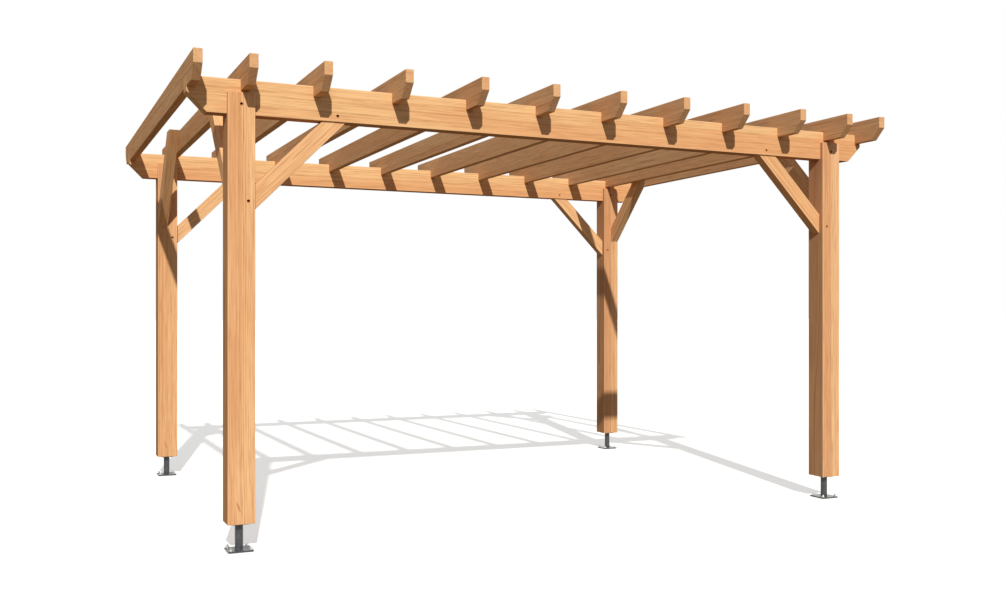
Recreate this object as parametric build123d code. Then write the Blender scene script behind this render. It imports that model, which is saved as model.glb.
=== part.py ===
from build123d import *
import math
import os

# Freestanding timber pergola: four posts on steel feet, two beams, twelve rafters, eight braces.
# Millimetres. +Z is up, +X runs along the beams and -Y is the front.
# The origin is on the ground in the middle of the footprint.

# Footprint, measured over the outer faces of the posts
frame_length = 4000.0
frame_depth = 3000.0

# Posts
post_size = 140.0
post_length = 2210.0
fork_play = 0.5  # between the beam and each cheek of a post's forked head
cheek_clearance = 13.0  # from the top of a cheek up to the rafter that crosses it

# Beams
beam_overhang = 200.0  # past the outer face of a post
beam_thickness = 90.0
beam_height = 180.0
beam_end_cut = 100.0  # leg of the 45 degree cut at each lower end corner

# Rafters
rafter_overhang = 200.0  # past the outer face of a post
rafter_thickness = 45.0
rafter_height = 143.0
rafter_end_cut = 73.0  # leg of the 45 degree cut at each lower end corner
housing_depth = 57.0  # of the notch that drops over a beam
housing_play = 0.5  # between a notch and each side of its beam
middle_rafter_count = 8
first_bay = 379.0  # from the rafter over a post to the next one inwards

# Braces at 45 degrees: one up to the beam's underside, one up along the side of a rafter
brace_width = 90.0
brace_thickness = 70.0
brace_leg = 490.0  # outer leg of the triangle, down the post and along the beam or rafter

# Rounding of the long planed edges of all timber
arris_radius = 3.0

# Steel feet
foot_height = 145.0  # from the ground to the underside of the post
base_plate_size = 130.0
base_plate_thickness = 8.0
bolt_spacing = 100.0
bolt_hole_diameter = 12.0
stem_diameter = 42.4
stem_wall = 4.0
head_plate_size = 90.0
head_plate_thickness = 6.0
plate_corner_radius = 8.0

# Places that follow from the sizes above
post_x = (frame_length - post_size) / 2
post_y = (frame_depth - post_size) / 2
beam_length = frame_length + 2 * beam_overhang
rafter_length = frame_depth + 2 * rafter_overhang
fork_depth = beam_height - housing_depth - cheek_clearance
post_top = foot_height + post_length
beam_bottom = post_top - fork_depth
beam_top = beam_bottom + beam_height
rafter_bottom = beam_top - housing_depth
over_post_x = post_x - rafter_thickness / 2
end_rafter_x = (beam_length - rafter_thickness) / 2
middle_rafter_span = 2 * (over_post_x - first_bay)


def planed_bar(plane, width, height, length):
    """Bar with its four long edges rounded, centred on the plane's origin, along its normal."""
    section = plane * RectangleRounded(width, height, arris_radius)
    return extrude(section, length / 2, both=True)


def side_outline(length, height, end_cut):
    """Side view of a bar whose two lower end corners are cut off at 45 degrees."""
    outline = Rectangle(length, height)
    return chamfer(outline.vertices().group_by(Axis.Y)[0], end_cut)


def make_post():
    """Square post whose forked head takes the beam between two cheeks."""
    post = Pos(0, 0, post_length / 2) * planed_bar(Plane.XY, post_size, post_size, post_length)
    fork_width = beam_thickness + 2 * fork_play
    slot = Pos(0, 0, post_length) * Box(post_size, fork_width, 2 * fork_depth)
    return post - slot


def make_beam():
    """Beam along X, its underside at z = 0."""
    outline = side_outline(beam_length, beam_height, beam_end_cut)
    beam = planed_bar(Plane.YZ, beam_thickness, beam_height, beam_length)
    beam &= extrude(Plane.XZ * outline, beam_thickness / 2, both=True)
    return Pos(0, 0, beam_height / 2) * beam


def make_rafter():
    """Rafter along Y with a notch over each beam, its underside at z = 0."""
    outline = side_outline(rafter_length, rafter_height, rafter_end_cut)
    housing_width = beam_thickness + 2 * housing_play
    for side in (-1, 1):
        outline -= Pos(side * post_y, -rafter_height / 2) * Rectangle(housing_width, 2 * housing_depth)
    rafter = planed_bar(Plane.XZ, rafter_thickness, rafter_height, rafter_length)
    rafter &= extrude(Plane.YZ * outline, rafter_thickness / 2, both=True)
    return Pos(0, 0, rafter_height / 2) * rafter


def make_brace(rise):
    """Brace in the XZ plane, against a post at x = 0, cut level at rise above its bar's underside."""
    middle_leg = brace_leg - brace_width / math.sqrt(2)
    middle = (middle_leg / 2, 0, -middle_leg / 2)
    along = Plane(origin=middle, x_dir=(0, 1, 0), z_dir=(1, 0, 1))
    reach = brace_leg + rise
    brace = planed_bar(along, brace_thickness, brace_width, 2 * math.sqrt(2) * reach)
    corner = Box(reach, brace_thickness, reach, align=(Align.MIN, Align.CENTER, Align.MAX))
    return brace & Pos(0, 0, rise) * corner


def make_foot():
    """Steel foot: bolted base plate, tube stem open at the bottom, head plate under the post."""
    stem_bore = stem_diameter - 2 * stem_wall
    base = RectangleRounded(base_plate_size, base_plate_size, plate_corner_radius)
    base -= GridLocations(bolt_spacing, bolt_spacing, 2, 2) * Circle(bolt_hole_diameter / 2)
    base -= Circle(stem_bore / 2)
    head = RectangleRounded(head_plate_size, head_plate_size, plate_corner_radius)
    head_bottom = foot_height - head_plate_thickness
    stem = Circle(stem_diameter / 2) - Circle(stem_bore / 2)
    foot = extrude(base, base_plate_thickness)
    foot += Pos(0, 0, base_plate_thickness) * extrude(stem, head_bottom - base_plate_thickness)
    return foot + Pos(0, 0, head_bottom) * extrude(head, head_plate_thickness)


def rafter_places():
    """X of every rafter from left to right: one at each end, one over each post, the rest between."""
    pitch = middle_rafter_span / (middle_rafter_count - 1)
    middle = [index * pitch - middle_rafter_span / 2 for index in range(middle_rafter_count)]
    return [-end_rafter_x, -over_post_x, *middle, over_post_x, end_rafter_x]


def save(shape, node):
    """Write one named piece."""
    export_step(shape, f"parts/{node}.step")


os.makedirs("parts", exist_ok=True)

post = make_post()
foot = make_foot()
beam = make_beam()
rafter = make_rafter()
beam_brace = make_brace(rise=0)
rafter_brace = make_brace(rise=rafter_height)
rafter_brace_x = over_post_x + (rafter_thickness + brace_thickness) / 2

for row, y_side in (("front", -1), ("back", 1)):
    save(Pos(0, y_side * post_y, beam_bottom) * beam, f"beam_{row}")
    for column, x_side in (("left", -1), ("right", 1)):
        corner = f"{row}_{column}"
        save(Pos(x_side * post_x, y_side * post_y, foot_height) * post, f"post_{corner}")
        save(Pos(x_side * post_x, y_side * post_y, 0) * foot, f"foot_{corner}")

        inner_x = x_side * (post_x - post_size / 2)
        turn = Rot(0, 0, 180 if x_side > 0 else 0)
        save(Pos(inner_x, y_side * post_y, beam_bottom) * turn * beam_brace, f"brace_{corner}_beam")

        inner_y = y_side * (post_y - post_size / 2)
        turn = Rot(0, 0, -90 * y_side)
        place = Pos(x_side * rafter_brace_x, inner_y, rafter_bottom)
        save(place * turn * rafter_brace, f"brace_{corner}_rafter")

for number, x in enumerate(rafter_places(), start=1):
    save(Pos(x, 0, rafter_bottom) * rafter, f"rafter_{number:02d}")
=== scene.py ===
"""Look of a freestanding timber pergola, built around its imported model.

Planed softwood stands on dark steel feet. One Geometry Nodes tree shapes every timber as a bar less
its cuts, a second bores its pin and screw holes, and a third sets the heads, anchors and weld beads in
place. Metres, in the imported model's own frame: +Z up, +X along the beams, -Y the front.
"""

import logging
import math
import random
from dataclasses import dataclass, field, replace
from enum import Enum
from itertools import count

import bmesh
import bpy
from mathutils import Matrix, Vector


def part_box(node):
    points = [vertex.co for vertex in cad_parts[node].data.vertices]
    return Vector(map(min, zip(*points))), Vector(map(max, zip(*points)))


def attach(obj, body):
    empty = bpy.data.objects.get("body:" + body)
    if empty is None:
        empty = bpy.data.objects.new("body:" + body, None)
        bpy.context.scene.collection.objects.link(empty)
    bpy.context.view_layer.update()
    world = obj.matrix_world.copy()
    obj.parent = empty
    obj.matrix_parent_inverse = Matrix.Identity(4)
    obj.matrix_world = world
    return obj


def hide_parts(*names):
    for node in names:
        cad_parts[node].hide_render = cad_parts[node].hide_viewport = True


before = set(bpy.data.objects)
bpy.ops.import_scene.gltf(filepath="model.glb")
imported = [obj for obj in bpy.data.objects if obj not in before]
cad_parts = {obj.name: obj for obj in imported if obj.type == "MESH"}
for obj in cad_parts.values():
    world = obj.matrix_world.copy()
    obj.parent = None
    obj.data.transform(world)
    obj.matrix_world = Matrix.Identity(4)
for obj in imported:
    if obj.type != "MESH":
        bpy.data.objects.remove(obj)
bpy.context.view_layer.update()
log = logging.getLogger("pergola")

BODY = "root"
RIGHT, BACK, UP = Vector((1, 0, 0)), Vector((0, 1, 0)), Vector((0, 0, 1))
Pair = tuple[float, float]
Triple = tuple[float, float, float]
Colour = tuple[float, float, float, float]
NodeOwner = bpy.types.Material | bpy.types.World


class Socket(Enum):
    """Kinds of input and output that a node tree of this file has."""

    SHAPE = "NodeSocketGeometry"
    NUMBER = "NodeSocketFloat"
    COUNT = "NodeSocketInt"
    VECTOR = "NodeSocketVector"
    COLOUR = "NodeSocketColor"
    PIECE = "NodeSocketObject"
    FINISH = "NodeSocketMaterial"


class Row(Enum):
    """The two rows of posts."""

    FRONT = "front"
    BACK = "back"


class Column(Enum):
    """The two ends of a row."""

    LEFT = "left"
    RIGHT = "right"


class Carried(Enum):
    """What a brace holds up."""

    BEAM = "beam"
    RAFTER = "rafter"


# Wiring of node trees


class Signal:
    """A node's output, which takes plain arithmetic.

    Args:
        wiring: the wiring of the node's tree.
        socket: the output.
    """

    def __init__(self, wiring: "Wiring", socket: bpy.types.NodeSocket) -> None:
        """Keep the output."""
        self.wiring = wiring
        self.socket = socket

    def __add__(self, other: "Source") -> "Signal":
        """Return the sum of two numbers."""
        return self.wiring.math("ADD", self, other)

    def __sub__(self, other: "Source") -> "Signal":
        """Return this number less another."""
        return self.wiring.math("SUBTRACT", self, other)

    def __rsub__(self, other: "Source") -> "Signal":
        """Return another number less this one."""
        return self.wiring.math("SUBTRACT", other, self)

    def __mul__(self, other: "Source") -> "Signal":
        """Return the product of two numbers."""
        return self.wiring.math("MULTIPLY", self, other)

    def __truediv__(self, other: "Source") -> "Signal":
        """Return this number over another."""
        return self.wiring.math("DIVIDE", self, other)

    def __abs__(self) -> "Signal":
        """Return the number without its sign."""
        return self.wiring.math("ABSOLUTE", self)


Key = str | int
Source = Signal | float | str | tuple
Inputs = dict[Key, Source]
Shader = tuple[str, Inputs]


class Wiring:
    """Adds nodes to one tree and joins them.

    Args:
        tree: the node tree that is filled.
    """

    def __init__(self, tree: bpy.types.NodeTree) -> None:
        """Keep the tree."""
        self.tree = tree

    def fill(self, node: bpy.types.Node, inputs: Inputs) -> None:
        """Join a node's inputs to signals, or set their own values.

        Args:
            node: the node.
            inputs: what goes into its inputs, by name or number.
        """
        for key, source in inputs.items():
            if isinstance(source, Signal):
                self.tree.links.new(source.socket, node.inputs[key])
            else:
                node.inputs[key].default_value = source

    def add(self, kind: str, inputs: Inputs | None = None, **settings: object) -> bpy.types.Node:
        """Add one node.

        Args:
            kind: Blender's name for the kind of node.
            inputs: what goes into its inputs, by name or number.
            settings: the node's own properties, set before its inputs.

        Returns:
            The new node.
        """
        node = self.tree.nodes.new(kind)
        for name, value in settings.items():
            setattr(node, name, value)
        self.fill(node, inputs or {})
        return node

    def read(self, kind: str, inputs: Inputs | None = None, output: Key = 0, **settings: object) -> Signal:
        """Add one node and return one of its outputs, by the output's name or number."""
        return Signal(self, self.add(kind, inputs, **settings).outputs[output])

    def signals(self, node: bpy.types.Node) -> dict[str, Signal]:
        """Return a node's outputs by name."""
        return {output.name: Signal(self, output) for output in node.outputs}

    def math(self, operation: str, *values: Source) -> Signal:
        """Add a Math node and return its result."""
        return self.read("ShaderNodeMath", dict(enumerate(values)), operation=operation)

    def vector(self, operation: str, *values: Source) -> Signal:
        """Add a Vector Math node and return its result."""
        output = "Value" if operation in ("LENGTH", "DOT_PRODUCT") else "Vector"
        return self.read("ShaderNodeVectorMath", dict(enumerate(values)), output, operation=operation)

    def scaled(self, vector: Source, factor: Source) -> Signal:
        """Return a vector or colour times one number."""
        return self.read("ShaderNodeVectorMath", {0: vector, "Scale": factor}, operation="SCALE")

    def split(self, vector: Source) -> tuple[Signal, ...]:
        """Return a vector's three numbers."""
        return tuple(self.signals(self.add("ShaderNodeSeparateXYZ", {0: vector})).values())

    def joined(self, x: Source = 0.0, y: Source = 0.0, z: Source = 0.0) -> Signal:
        """Return a vector made of three numbers."""
        return self.read("ShaderNodeCombineXYZ", {0: x, 1: y, 2: z})

    def step(
        self, value: Source, low: float, high: float, to_low: float = 0.0, to_high: float = 1.0
    ) -> Signal:
        """Return a smooth step of a number from to_low, at low, to to_high, at high."""
        inputs = {"Value": value, "From Min": low, "From Max": high, "To Min": to_low, "To Max": to_high}
        return self.read("ShaderNodeMapRange", inputs, interpolation_type="SMOOTHSTEP")

    def noise(
        self, place: Source, scale: float = 1.0, detail: float = 2.0, rough: float = 0.5, output: Key = 0
    ) -> Signal:
        """Return a noise of a place, as a number or as its output Color."""
        inputs = {"Vector": place, "Scale": scale, "Detail": detail, "Roughness": rough}
        return self.read("ShaderNodeTexNoise", inputs, output)

    def chance(self, number: Source, output: str = "Value") -> Signal:
        """Return a random number that belongs to a number, or three of them as the output Color."""
        return self.read("ShaderNodeTexWhiteNoise", {"W": number}, output, noise_dimensions="1D")

    def blended(self, share: Source, first: Source, second: Source) -> Signal:
        """Return a mix of two colours."""
        return self.read("ShaderNodeMix", {0: share, 6: first, 7: second}, 2, data_type="RGBA")

    def carried(self, name: str) -> Signal:
        """Return the vector of a given name that each point carries."""
        return self.read("GeometryNodeInputNamedAttribute", {"Name": name}, data_type="FLOAT_VECTOR")

    def towards(self) -> Signal:
        """Return the turn that points a piece's own Z the way that its point faces."""
        return self.read("FunctionNodeAlignRotationToVector", {"Vector": self.carried("facing")}, axis="Z")

    def copies(self, points: Source, piece: Source, turn: Source, scale: Source = (1.0, 1.0, 1.0)) -> Signal:
        """Set a copy of a piece at every point.

        Args:
            points: the points.
            piece: the piece.
            turn: how each copy is turned.
            scale: its size against the piece's.

        Returns:
            The copies, made real.
        """
        inputs = {"Points": points, "Instance": piece, "Rotation": turn, "Scale": scale}
        placed = self.read("GeometryNodeInstanceOnPoints", inputs)
        return self.read("GeometryNodeRealizeInstances", {0: placed})

    def less(self, body: Source, cutters: Source) -> Signal:
        """Return a body with others taken off it."""
        inputs = {"Mesh 1": body, "Mesh 2": cutters}
        return self.read("GeometryNodeMeshBoolean", inputs, operation="DIFFERENCE", solver="EXACT")

    def dressed(self, shape: Source, finish: Source, only: Source = True) -> Signal:
        """Return a shape with a finish on it, or on some of its faces only."""
        inputs = {"Geometry": shape, "Selection": only, "Material": finish}
        return self.read("GeometryNodeSetMaterial", inputs)


def new_tree(
    kind: str, name: str, inputs: dict[str, Socket], outputs: dict[str, Socket]
) -> tuple[Wiring, dict[str, Signal], bpy.types.Node]:
    """Start a node tree with named inputs and outputs.

    Args:
        kind: Blender's name for the kind of tree.
        name: the tree's name.
        inputs: its inputs, in order.
        outputs: its outputs, in order.

    Returns:
        The wiring of the tree, what it is given by name, and its output node.
    """
    tree = bpy.data.node_groups.new(name, kind)
    for in_out, sockets in (("INPUT", inputs), ("OUTPUT", outputs)):
        for label, socket in sockets.items():
            tree.interface.new_socket(name=label, in_out=in_out, socket_type=socket.value)
    wiring = Wiring(tree)
    return wiring, wiring.signals(wiring.add("NodeGroupInput")), wiring.add("NodeGroupOutput")


def bare_surface(owner: NodeOwner, output: str) -> tuple[Wiring, bpy.types.Node]:
    """Clear the nodes of a material or world down to its output.

    Args:
        owner: the material or world.
        output: Blender's name for the kind of its output.

    Returns:
        The wiring of its tree, and its output.
    """
    owner.use_nodes = True
    owner.node_tree.nodes.clear()
    wiring = Wiring(owner.node_tree)
    return wiring, wiring.add(output)


def blank_material(name: str) -> tuple[bpy.types.Material, Wiring, bpy.types.Node]:
    """Start a material with a bare shader.

    Args:
        name: the material's name.

    Returns:
        The material, the wiring of its tree and its Principled BSDF.
    """
    material = bpy.data.materials.new(name)
    wiring, output = bare_surface(material, "ShaderNodeOutputMaterial")
    shader = wiring.add("ShaderNodeBsdfPrincipled")
    wiring.fill(output, {"Surface": Signal(wiring, shader.outputs[0])})
    return material, wiring, shader


# Finishes


# Fields that a tree takes in under the same names
PATTERN_COLOURS = ("Pale", "Warm", "Late")
PATTERN_NUMBERS = (
    "Ring Pitch", "Ring Strength", "Board Width", "Board Joint", "Board Contrast", "Board Up", "Warming",
    "Side Warming", "Knot Radius",
)
BORE_NUMBERS = ("Mouth Radius", "Floor Radius", "Depth", "Rim")


def handed(owner: object, labels: tuple[str, ...]) -> dict[str, object]:
    """Return an object's fields under the names of the inputs that take them."""
    return {label: getattr(owner, label.lower().replace(" ", "_")) for label in labels}


@dataclass(frozen=True)
class Lay:
    """How a timber lies in the frame: its own X runs along the grain.

    Args:
        origin: the timber's middle.
        along: the direction of its length.
        across: the direction of its width.
    """

    origin: Vector
    along: Vector
    across: Vector

    def matrix(self) -> Matrix:
        """Find how the timber's own space lies in the frame.

        Returns:
            The move from that space into the frame.
        """
        along, across = self.along.normalized(), self.across.normalized()
        turn = Matrix((along, across, along.cross(across))).transposed()
        return Matrix.Translation(self.origin) @ turn.to_4x4()


@dataclass(frozen=True)
class Figure:
    """Marks of planed softwood that all timbers share.

    Args:
        lean: the most that the grain leans from the timber's length, as a slope.
        pith_across: the most that the tree's middle moves across from board to board.
        pith_up: the most that it moves up or down.
        wander: how far the rings wander along the timber.
        wander_scale: how fine that wandering is, along and around the grain.
        tone_scale: how fine the change from pale to warm wood is.
        streak_scale: how fine the short streaks are.
        fibre_scale: how fine the fibres are.
        pore_scale: how fine the pores of the end grain are.
        knot_heart: colour of a knot's red-brown heart.
        heart_share: the share of that colour there.
        knot_rim: colour of the dark rim around it.
        rim_share: the share of that colour there.
        glue: colour of the line between two boards.
        glue_share: the share of that colour there.
        end_wood: colour that the end grain leans to.
        end_share: the share of that colour there.
        edge_wear_and_highlight: colour that the rounded edges are lightened towards, partly wear and partly
            a painted highlight.
        edge_wear_highlight_share: the share of that colour there.
        edge_wear_highlight_width: width of that lighter edge.
    """

    lean: float = 0.012
    pith_across: float = 0.045
    pith_up: float = 0.025
    wander: float = 0.035
    wander_scale: Pair = (0.6, 3.0)
    tone_scale: Pair = (1.1, 9.0)
    streak_scale: Pair = (5.0, 125.0)
    fibre_scale: Pair = (9.0, 520.0)
    pore_scale: Pair = (900.0, 900.0)
    knot_heart: Colour = (0.50, 0.165, 0.050, 1.0)
    heart_share: float = 0.7
    knot_rim: Colour = (0.32, 0.11, 0.04, 1.0)
    rim_share: float = 0.35
    glue: Colour = (0.36, 0.17, 0.08, 1.0)
    glue_share: float = 0.35
    end_wood: Colour = (0.78, 0.40, 0.18, 1.0)
    end_share: float = 0.2
    edge_wear_and_highlight: Colour = (0.90, 0.57, 0.32, 1.0)
    edge_wear_highlight_share: float = 0.4
    edge_wear_highlight_width: float = 0.0065

    def tree(self) -> bpy.types.NodeTree:
        """Build the pattern: growth rings, boards, streaks, a knot and end grain.

        Returns:
            A shader node group. It takes a place in the timber's own space and gives colour,
            roughness and height.
        """
        numbers = ("End Facing", "Seed", "Half Width", "Half Height", *PATTERN_NUMBERS)
        inputs = dict.fromkeys(numbers, Socket.NUMBER)
        inputs |= dict.fromkeys(("Place", "Pith", "Knot"), Socket.VECTOR)
        inputs |= dict.fromkeys(PATTERN_COLOURS, Socket.COLOUR)
        outputs = {"Colour": Socket.COLOUR, "Roughness": Socket.NUMBER, "Height": Socket.NUMBER}
        wiring, given, result = new_tree("ShaderNodeTree", "timber_pattern", inputs, outputs)
        seed = given["Seed"]
        x, y, z = wiring.split(given["Place"])

        def spread(number: Signal, most: float) -> Signal:
            """Return a number from 0 to 1 moved to between -most and most."""
            return number * (2 * most) - most

        # The grain runs a little aslant of the timber
        lean_y, lean_z, _ = wiring.split(wiring.chance(seed + 0.37, "Color"))
        grain_y = x * spread(lean_y, self.lean) + y
        grain_z = x * spread(lean_z, self.lean) + z
        grain = wiring.joined(x, grain_y, grain_z)
        apart = wiring.scaled((7.31, 3.17, 5.73), seed)

        def stretched(scale: Pair) -> Signal:
            """Return the place, drawn out along the grain and moved apart by the seed."""
            return wiring.vector("ADD", wiring.vector("MULTIPLY", grain, (*scale, scale[1])), apart)

        # Glued boards side by side or one above the other, each cut from another part of a tree
        board_axis = (z - y) * given["Board Up"] + y
        board_place = (board_axis + given["Board Joint"]) / given["Board Width"]
        board = wiring.math("FLOOR", board_place)
        board_y, board_z, board_tone = wiring.split(wiring.chance(board * 13.7 + seed, "Color"))
        _, pith_y, pith_z = wiring.split(given["Pith"])
        pith_y = pith_y + spread(board_y, self.pith_across)
        pith_z = pith_z + spread(board_z, self.pith_up)

        # A small leaning knot pushes the rings around it
        knot_x, knot_y, knot_z = wiring.split(wiring.vector("SUBTRACT", given["Place"], given["Knot"]))
        from_knot = wiring.joined(knot_x * 0.2, knot_x * 0.35 + knot_y, knot_z)
        knot_range = wiring.vector("LENGTH", from_knot) / given["Knot Radius"]
        push = wiring.math("POWER", math.e, knot_range * knot_range * -0.35) * given["Knot Radius"]

        # Growth rings around the pith, a few of them much darker than the rest
        wander = wiring.noise(stretched(self.wander_scale), output="Color")
        wander = wiring.vector("SUBTRACT", wander, (0.5, 0.5, 0.5))
        wander_y, wander_z, _ = wiring.split(wiring.scaled(wander, self.wander))
        from_pith = wiring.joined(0.0, grain_y - pith_y + wander_y, grain_z - pith_z + wander_z)
        radius = wiring.vector("LENGTH", from_pith) + push
        drift = wiring.noise(wiring.joined(radius * 48.0, seed), detail=1.0) * 2.2
        rings = radius / given["Ring Pitch"] + drift
        part = wiring.math("FRACT", rings)
        year = wiring.chance(wiring.math("FLOOR", rings) + seed)
        late = wiring.step(part, 0.4, 0.86) * wiring.step(part, 1.0, 0.92)
        late = late * (wiring.math("POWER", year, 2.0) * 0.8 + 0.2)

        # A slow change from pale to warm wood, and each board and side in its own tone
        near_side = given["Half Width"] - abs(y)
        tone = wiring.noise(stretched(self.tone_scale), detail=1.0) + spread(board_tone, 0.15)
        tone = tone + (board * -1.0 - 0.5) * given["Board Contrast"] + x * given["Warming"]
        tone = tone + wiring.step(near_side, 0.003, 0.0005) * given["Side Warming"]
        base = wiring.blended(wiring.step(tone, 0.2, 0.8), given["Pale"], given["Warm"])

        # Bands of rings, short streaks and fibres
        band = wiring.noise(wiring.joined(radius * 75.0, board, seed))
        streak = wiring.noise(stretched(self.streak_scale), detail=3.0, rough=0.6)
        fibre = wiring.noise(stretched(self.fibre_scale))
        dark = late * given["Ring Strength"] + wiring.step(band, 0.35, 0.7, -0.06, 0.22)
        dark = dark + wiring.step(streak, 0.46, 0.70, 0.0, 0.38) + wiring.step(streak, 0.5, 0.30, 0.0, -0.15)
        dark = wiring.math("MINIMUM", wiring.math("MAXIMUM", dark, 0.0), 1.0)
        wood = wiring.scaled(wiring.blended(dark, base, given["Late"]), fibre * 0.28 + 0.86)

        # The knot itself, and the glue line between two boards
        rim = wiring.step(knot_range, 0.72, 0.95) * wiring.step(knot_range, 1.25, 1.0)
        wood = wiring.blended(wiring.step(knot_range, 1.0, 0.75) * self.heart_share, wood, self.knot_heart)
        wood = wiring.blended(rim * self.rim_share, wood, self.knot_rim)
        from_joint = abs(wiring.math("FRACT", board_place + 0.5) - 0.5) * given["Board Width"]
        wood = wiring.blended(wiring.step(from_joint, 0.0012, 0.0004) * self.glue_share, wood, self.glue)

        # End grain is rougher and pored, and eased edges are lighter, partly from wear and partly as a
        # painted highlight
        end = wiring.step(given["End Facing"], 0.6, 0.95)
        pores = wiring.noise(stretched(self.pore_scale), detail=1.0)
        cut = wiring.scaled(wiring.blended(self.end_share, wood, self.end_wood), pores * 0.5 + 0.72)
        wood = wiring.blended(end, wood, cut)
        near_top = given["Half Height"] - abs(z)
        # A lighter band along the eased edges: a painted highlight, with some wear
        edge = wiring.step(near_side, self.edge_wear_highlight_width, 0.001) * wiring.step(near_top, self.edge_wear_highlight_width, 0.001)
        wear_and_highlight = edge * (self.edge_wear_highlight_share - end * self.edge_wear_highlight_share)
        wood = wiring.blended(wear_and_highlight, wood, self.edge_wear_and_highlight)
        rough = late * -0.08 + end * 0.15 + (fibre * 0.16 + 0.56)
        height = late * 0.35 + fibre * 0.5 + pores * end * 0.6
        wiring.fill(result, {"Colour": wood, "Roughness": rough, "Height": height})
        return wiring.tree


# How much one timber differs from the next: in light, in red, in the pith's height and in ring pitch
LIGHT_RANGE, RED_RANGE = (0.95, 1.03), (-0.035, 0.03)
PITH_RANGE, PITCH_RANGE = (0.8, 1.25), (0.85, 1.15)


@dataclass(frozen=True)
class TimberFinish:
    """Colours and figure of one kind of timber.

    Args:
        pale: colour of the palest wood between two rings.
        warm: colour of the redder boards and bands.
        late: colour of the dark line that ends each ring.
        ring_pitch: distance from ring to ring.
        ring_strength: how dark the darkest rings are, from 0 to 1.
        pith: where the middle of the tree lies, across and up from the timber's middle.
        pith_spread: how far it moves to either side from timber to timber.
        board_width: width of one glued board.
        board_joint: distance from the timber's middle to the joint left of it.
        board_contrast: how much warmer a board is than the next one on its right or above it.
        board_up: 1 for boards glued one above the other, 0 for boards side by side.
        warming: how much warmer the wood gets with each metre along the timber.
        side_warming: how much warmer its two sides are than its other faces.
        knot_radius: half the width of the knot.
        specular: strength of the wood's own gloss.
        shade: what all its colours are multiplied by.
        shade_spread: the share of the usual difference in shade from timber to timber.
        relief: height of the grain's relief.
        relief_strength: the share of that relief which shows.
    """

    pale: Colour = (0.812, 0.455, 0.209, 1.0)
    warm: Colour = (0.700, 0.347, 0.148, 1.0)
    late: Colour = (0.450, 0.175, 0.065, 1.0)
    ring_pitch: float = 0.0060
    ring_strength: float = 0.9
    pith: Pair = (0.02, -0.11)
    pith_spread: float = 0.03
    board_width: float = 1.0
    board_joint: float = 0.5
    board_contrast: float = 0.0
    board_up: float = 0.0
    warming: float = 0.0
    side_warming: float = 0.0
    knot_radius: float = 0.0048
    specular: float = 0.0
    shade: Triple = (1.0, 1.0, 1.0)
    shade_spread: float = 1.0
    relief: float = 0.0008
    relief_strength: float = 0.35

    def shaded(self, shade: Triple) -> "TimberFinish":
        """Return this finish with all its colours multiplied once more."""
        return replace(self, shade=tuple(a * b for a, b in zip(self.shade, shade)))

    def toned(self, seed: int) -> "TimberFinish":
        """Return this finish in one timber's own shade.

        Args:
            seed: a number that no other timber has.

        Returns:
            The finish of that timber.
        """
        chance = random.Random(seed)
        light, red = chance.uniform(*LIGHT_RANGE), chance.uniform(*RED_RANGE)
        own = Vector((light, light * (1 - red), light * (1 - 2 * red)))
        tint = Vector((1.0, 1.0, 1.0)).lerp(own, self.shade_spread) * Vector(self.shade)
        colours = (self.pale, self.warm, self.late)
        pale, warm, late = [(*(a * b for a, b in zip(colour, tint)), 1.0) for colour in colours]
        across = self.pith[0] + chance.uniform(-self.pith_spread, self.pith_spread)
        pith = (across, self.pith[1] * chance.uniform(*PITH_RANGE))
        pitch = self.ring_pitch * chance.uniform(*PITCH_RANGE)
        return replace(self, pale=pale, warm=warm, late=late, pith=pith, ring_pitch=pitch)

    def material(self, name: str, lay: Lay, size: Vector, seed: int, knot: Vector) -> bpy.types.Material:
        """Make the finish of one timber.

        Args:
            name: the material's name.
            lay: how the timber lies in the frame.
            size: the timber's length, width and height.
            seed: a number that no other timber has.
            knot: the knot's place in the timber's own space.

        Returns:
            The material.
        """
        own = self.toned(seed)
        material, wiring, shader = blank_material(name)
        matrix = lay.matrix()
        places = wiring.signals(wiring.add("ShaderNodeTexCoord"))
        turned = {
            "Vector": places["Object"],
            "Location": tuple(lay.origin),
            "Rotation": tuple(matrix.to_euler("XYZ")),
        }
        inputs = {
            "Place": wiring.read("ShaderNodeMapping", turned, vector_type="TEXTURE"),
            "End Facing": abs(wiring.vector("DOT_PRODUCT", places["Normal"], tuple(matrix.col[0][:3]))),
            "Seed": float(seed), "Half Width": size.y / 2, "Half Height": size.z / 2,
            "Pith": (0.0, *own.pith), "Knot": tuple(knot), **handed(own, PATTERN_COLOURS + PATTERN_NUMBERS),
        }
        pattern = bpy.data.node_groups["timber_pattern"]
        figure = wiring.signals(wiring.add("ShaderNodeGroup", inputs, node_tree=pattern))
        raised = {"Strength": own.relief_strength, "Distance": own.relief, "Height": figure["Height"]}
        wiring.fill(shader, {
            "Base Color": figure["Colour"],
            "Roughness": figure["Roughness"],
            "Normal": wiring.read("ShaderNodeBump", raised),
            "Specular IOR Level": own.specular,
        })
        return material


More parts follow.
